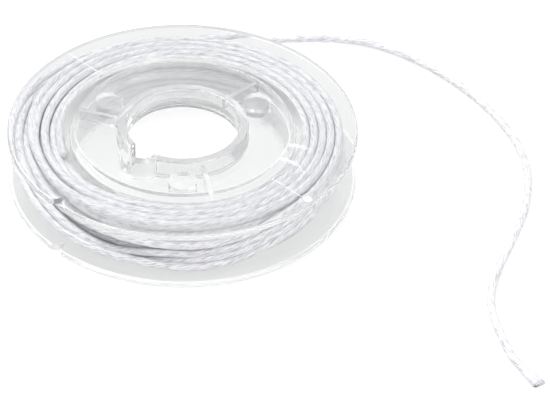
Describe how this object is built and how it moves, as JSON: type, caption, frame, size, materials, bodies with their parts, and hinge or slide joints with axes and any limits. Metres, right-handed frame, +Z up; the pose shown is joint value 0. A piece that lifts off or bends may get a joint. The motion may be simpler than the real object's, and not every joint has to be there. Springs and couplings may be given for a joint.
{
  "type": "string reel",
  "caption": "Clear moulded reel with a keyed bore, wound with white racket string whose free end lies in a loose bow beside it.",
  "frame": {"origin": "on the reel's axis, at the foot of its bottom flange", "axes": "+Z up along the reel's axis; +X towards the side where the string's tail lies; -Y towards its cut tip"},
  "size_m": [0.0862, 0.0882, 0.011],
  "materials": {
    "clear_plastic": "clear, glossy, moulded",
    "string": "white twisted filaments with a soft sheen",
    "string_end": "cut white filaments, spread"
  },
  "bodies": {
    "root": {"reel": "clear_plastic", "string_core": "string", "string_winding": "string", "string_tail": "string", "string_tip": "string_end"}
  },
  "joints": []
}
